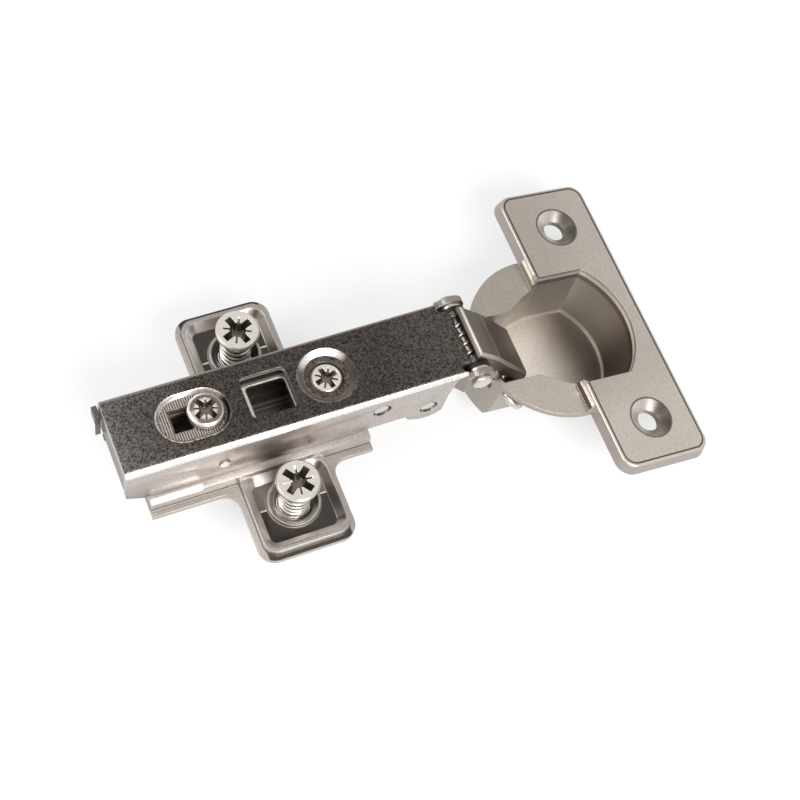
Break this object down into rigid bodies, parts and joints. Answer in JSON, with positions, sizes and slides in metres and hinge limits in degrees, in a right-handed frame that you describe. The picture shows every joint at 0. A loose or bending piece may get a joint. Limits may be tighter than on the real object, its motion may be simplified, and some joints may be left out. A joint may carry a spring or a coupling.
{
  "type": "concealed cup hinge",
  "caption": "Concealed cabinet hinge: a pressed cup with a screw flange on a folding knuckle, a channel arm and a cross-shaped mounting plate.",
  "frame": {"origin": "underside of the mounting plate, midway between its two screws", "axes": "+X along the arm towards the cup, +Z away from the panel that the plate is screwed to, +Y across; stored open as far as it goes"},
  "size_m": [0.1117, 0.0642, 0.028],
  "materials": {
    "nickel_plate": "satin nickel plate",
    "nickel_dark": "dark satin nickel plate with a fine grain",
    "nickel_screw": "bright nickel plate",
    "spring_steel": "drawn spring wire",
    "zinc": "zinc plate"
  },
  "bodies": {
    "base": {"mounting_plate": "nickel_plate", "clamp_nut": "zinc"},
    "screw_far": {"euro_screw_far": "nickel_screw"},
    "screw_near": {"euro_screw_near": "nickel_screw"},
    "clamp": {"clamp_screw": "nickel_screw"},
    "carriage": {"clip_carriage": "nickel_dark"},
    "adjuster": {"overlay_screw": "nickel_screw"},
    "arm": {"hinge_arm": "nickel_dark", "hinge_head": "nickel_plate", "head_pin": "nickel_screw", "inner_link_pin": "nickel_screw", "knuckle_pin": "nickel_screw", "inner_washer_far": "nickel_plate", "inner_washer_near": "nickel_plate", "outer_washer_far": "nickel_plate", "outer_washer_near": "nickel_plate", "torsion_spring": "spring_steel", "clip_pin_far": "nickel_screw", "clip_pin_near": "nickel_screw", "clip_spring": "spring_steel"},
    "lever": {"clip_lever": "nickel_plate"},
    "outer": {"outer_link": "nickel_dark"},
    "inner": {"inner_link": "nickel_plate"},
    "door_cup": {"cup": "nickel_plate", "cup_staple": "nickel_screw"}
  },
  "joints": [
    {"name": "screw_far_drive", "type": "slide", "parent": "base", "child": "screw_far", "axis": [0, 0, -1], "range_m": [0, 0.0087]},
    {"name": "screw_near_drive", "type": "slide", "parent": "base", "child": "screw_near", "axis": [0, 0, -1], "range_m": [0, 0.0087]},
    {"name": "clamp_turn", "type": "hinge", "parent": "base", "child": "clamp", "pos_m": [-0.0121, 0, 0.015], "axis": [0, 0, 1], "range_deg": [0, 540]},
    {"name": "depth_slide", "type": "slide", "parent": "base", "child": "carriage", "axis": [1, 0, 0], "range_m": [-0.0004, 0.0034]},
    {"name": "overlay_turn", "type": "hinge", "parent": "carriage", "child": "adjuster", "pos_m": [0.0112, 0, 0.0145], "axis": [0, 0, 1], "range_deg": [-214, 214]},
    {"name": "arm_tilt", "type": "hinge", "parent": "carriage", "child": "arm", "pos_m": [-0.0109, 0, 0.0091], "axis": [0, -1, 0], "range_deg": [-1.2, 1.2]},
    {"name": "lever_press", "type": "hinge", "parent": "arm", "child": "lever", "pos_m": [-0.0109, 0, 0.0091], "axis": [0, -1, 0], "range_deg": [0, 5], "stiffness_Nm_per_rad": 0.004, "springref_deg": -3.44},
    {"name": "link_swing", "type": "hinge", "parent": "arm", "child": "outer", "pos_m": [0.0393, 0, 0.0127], "axis": [0, -1, 0], "range_deg": [-20.5, 0.4]},
    {"name": "cup_fold", "type": "hinge", "parent": "outer", "child": "door_cup", "pos_m": [0.05015, 0, -0.0016], "axis": [0, -1, 0], "range_deg": [0, 118.8]},
    {"name": "inner_swing", "type": "hinge", "parent": "door_cup", "child": "inner", "pos_m": [0.04668, 0, 0.002], "axis": [0, -1, 0], "range_deg": [-141, 0.8]}
  ],
  "couplings": [
    {"joint": "overlay_turn", "follows": "arm_tilt", "ratio": 173.33},
    {"joint": "link_swing", "follows": "cup_fold", "ratio": -0.16667},
    {"joint": "inner_swing", "follows": "cup_fold", "ratio": -1.1708}
  ]
}
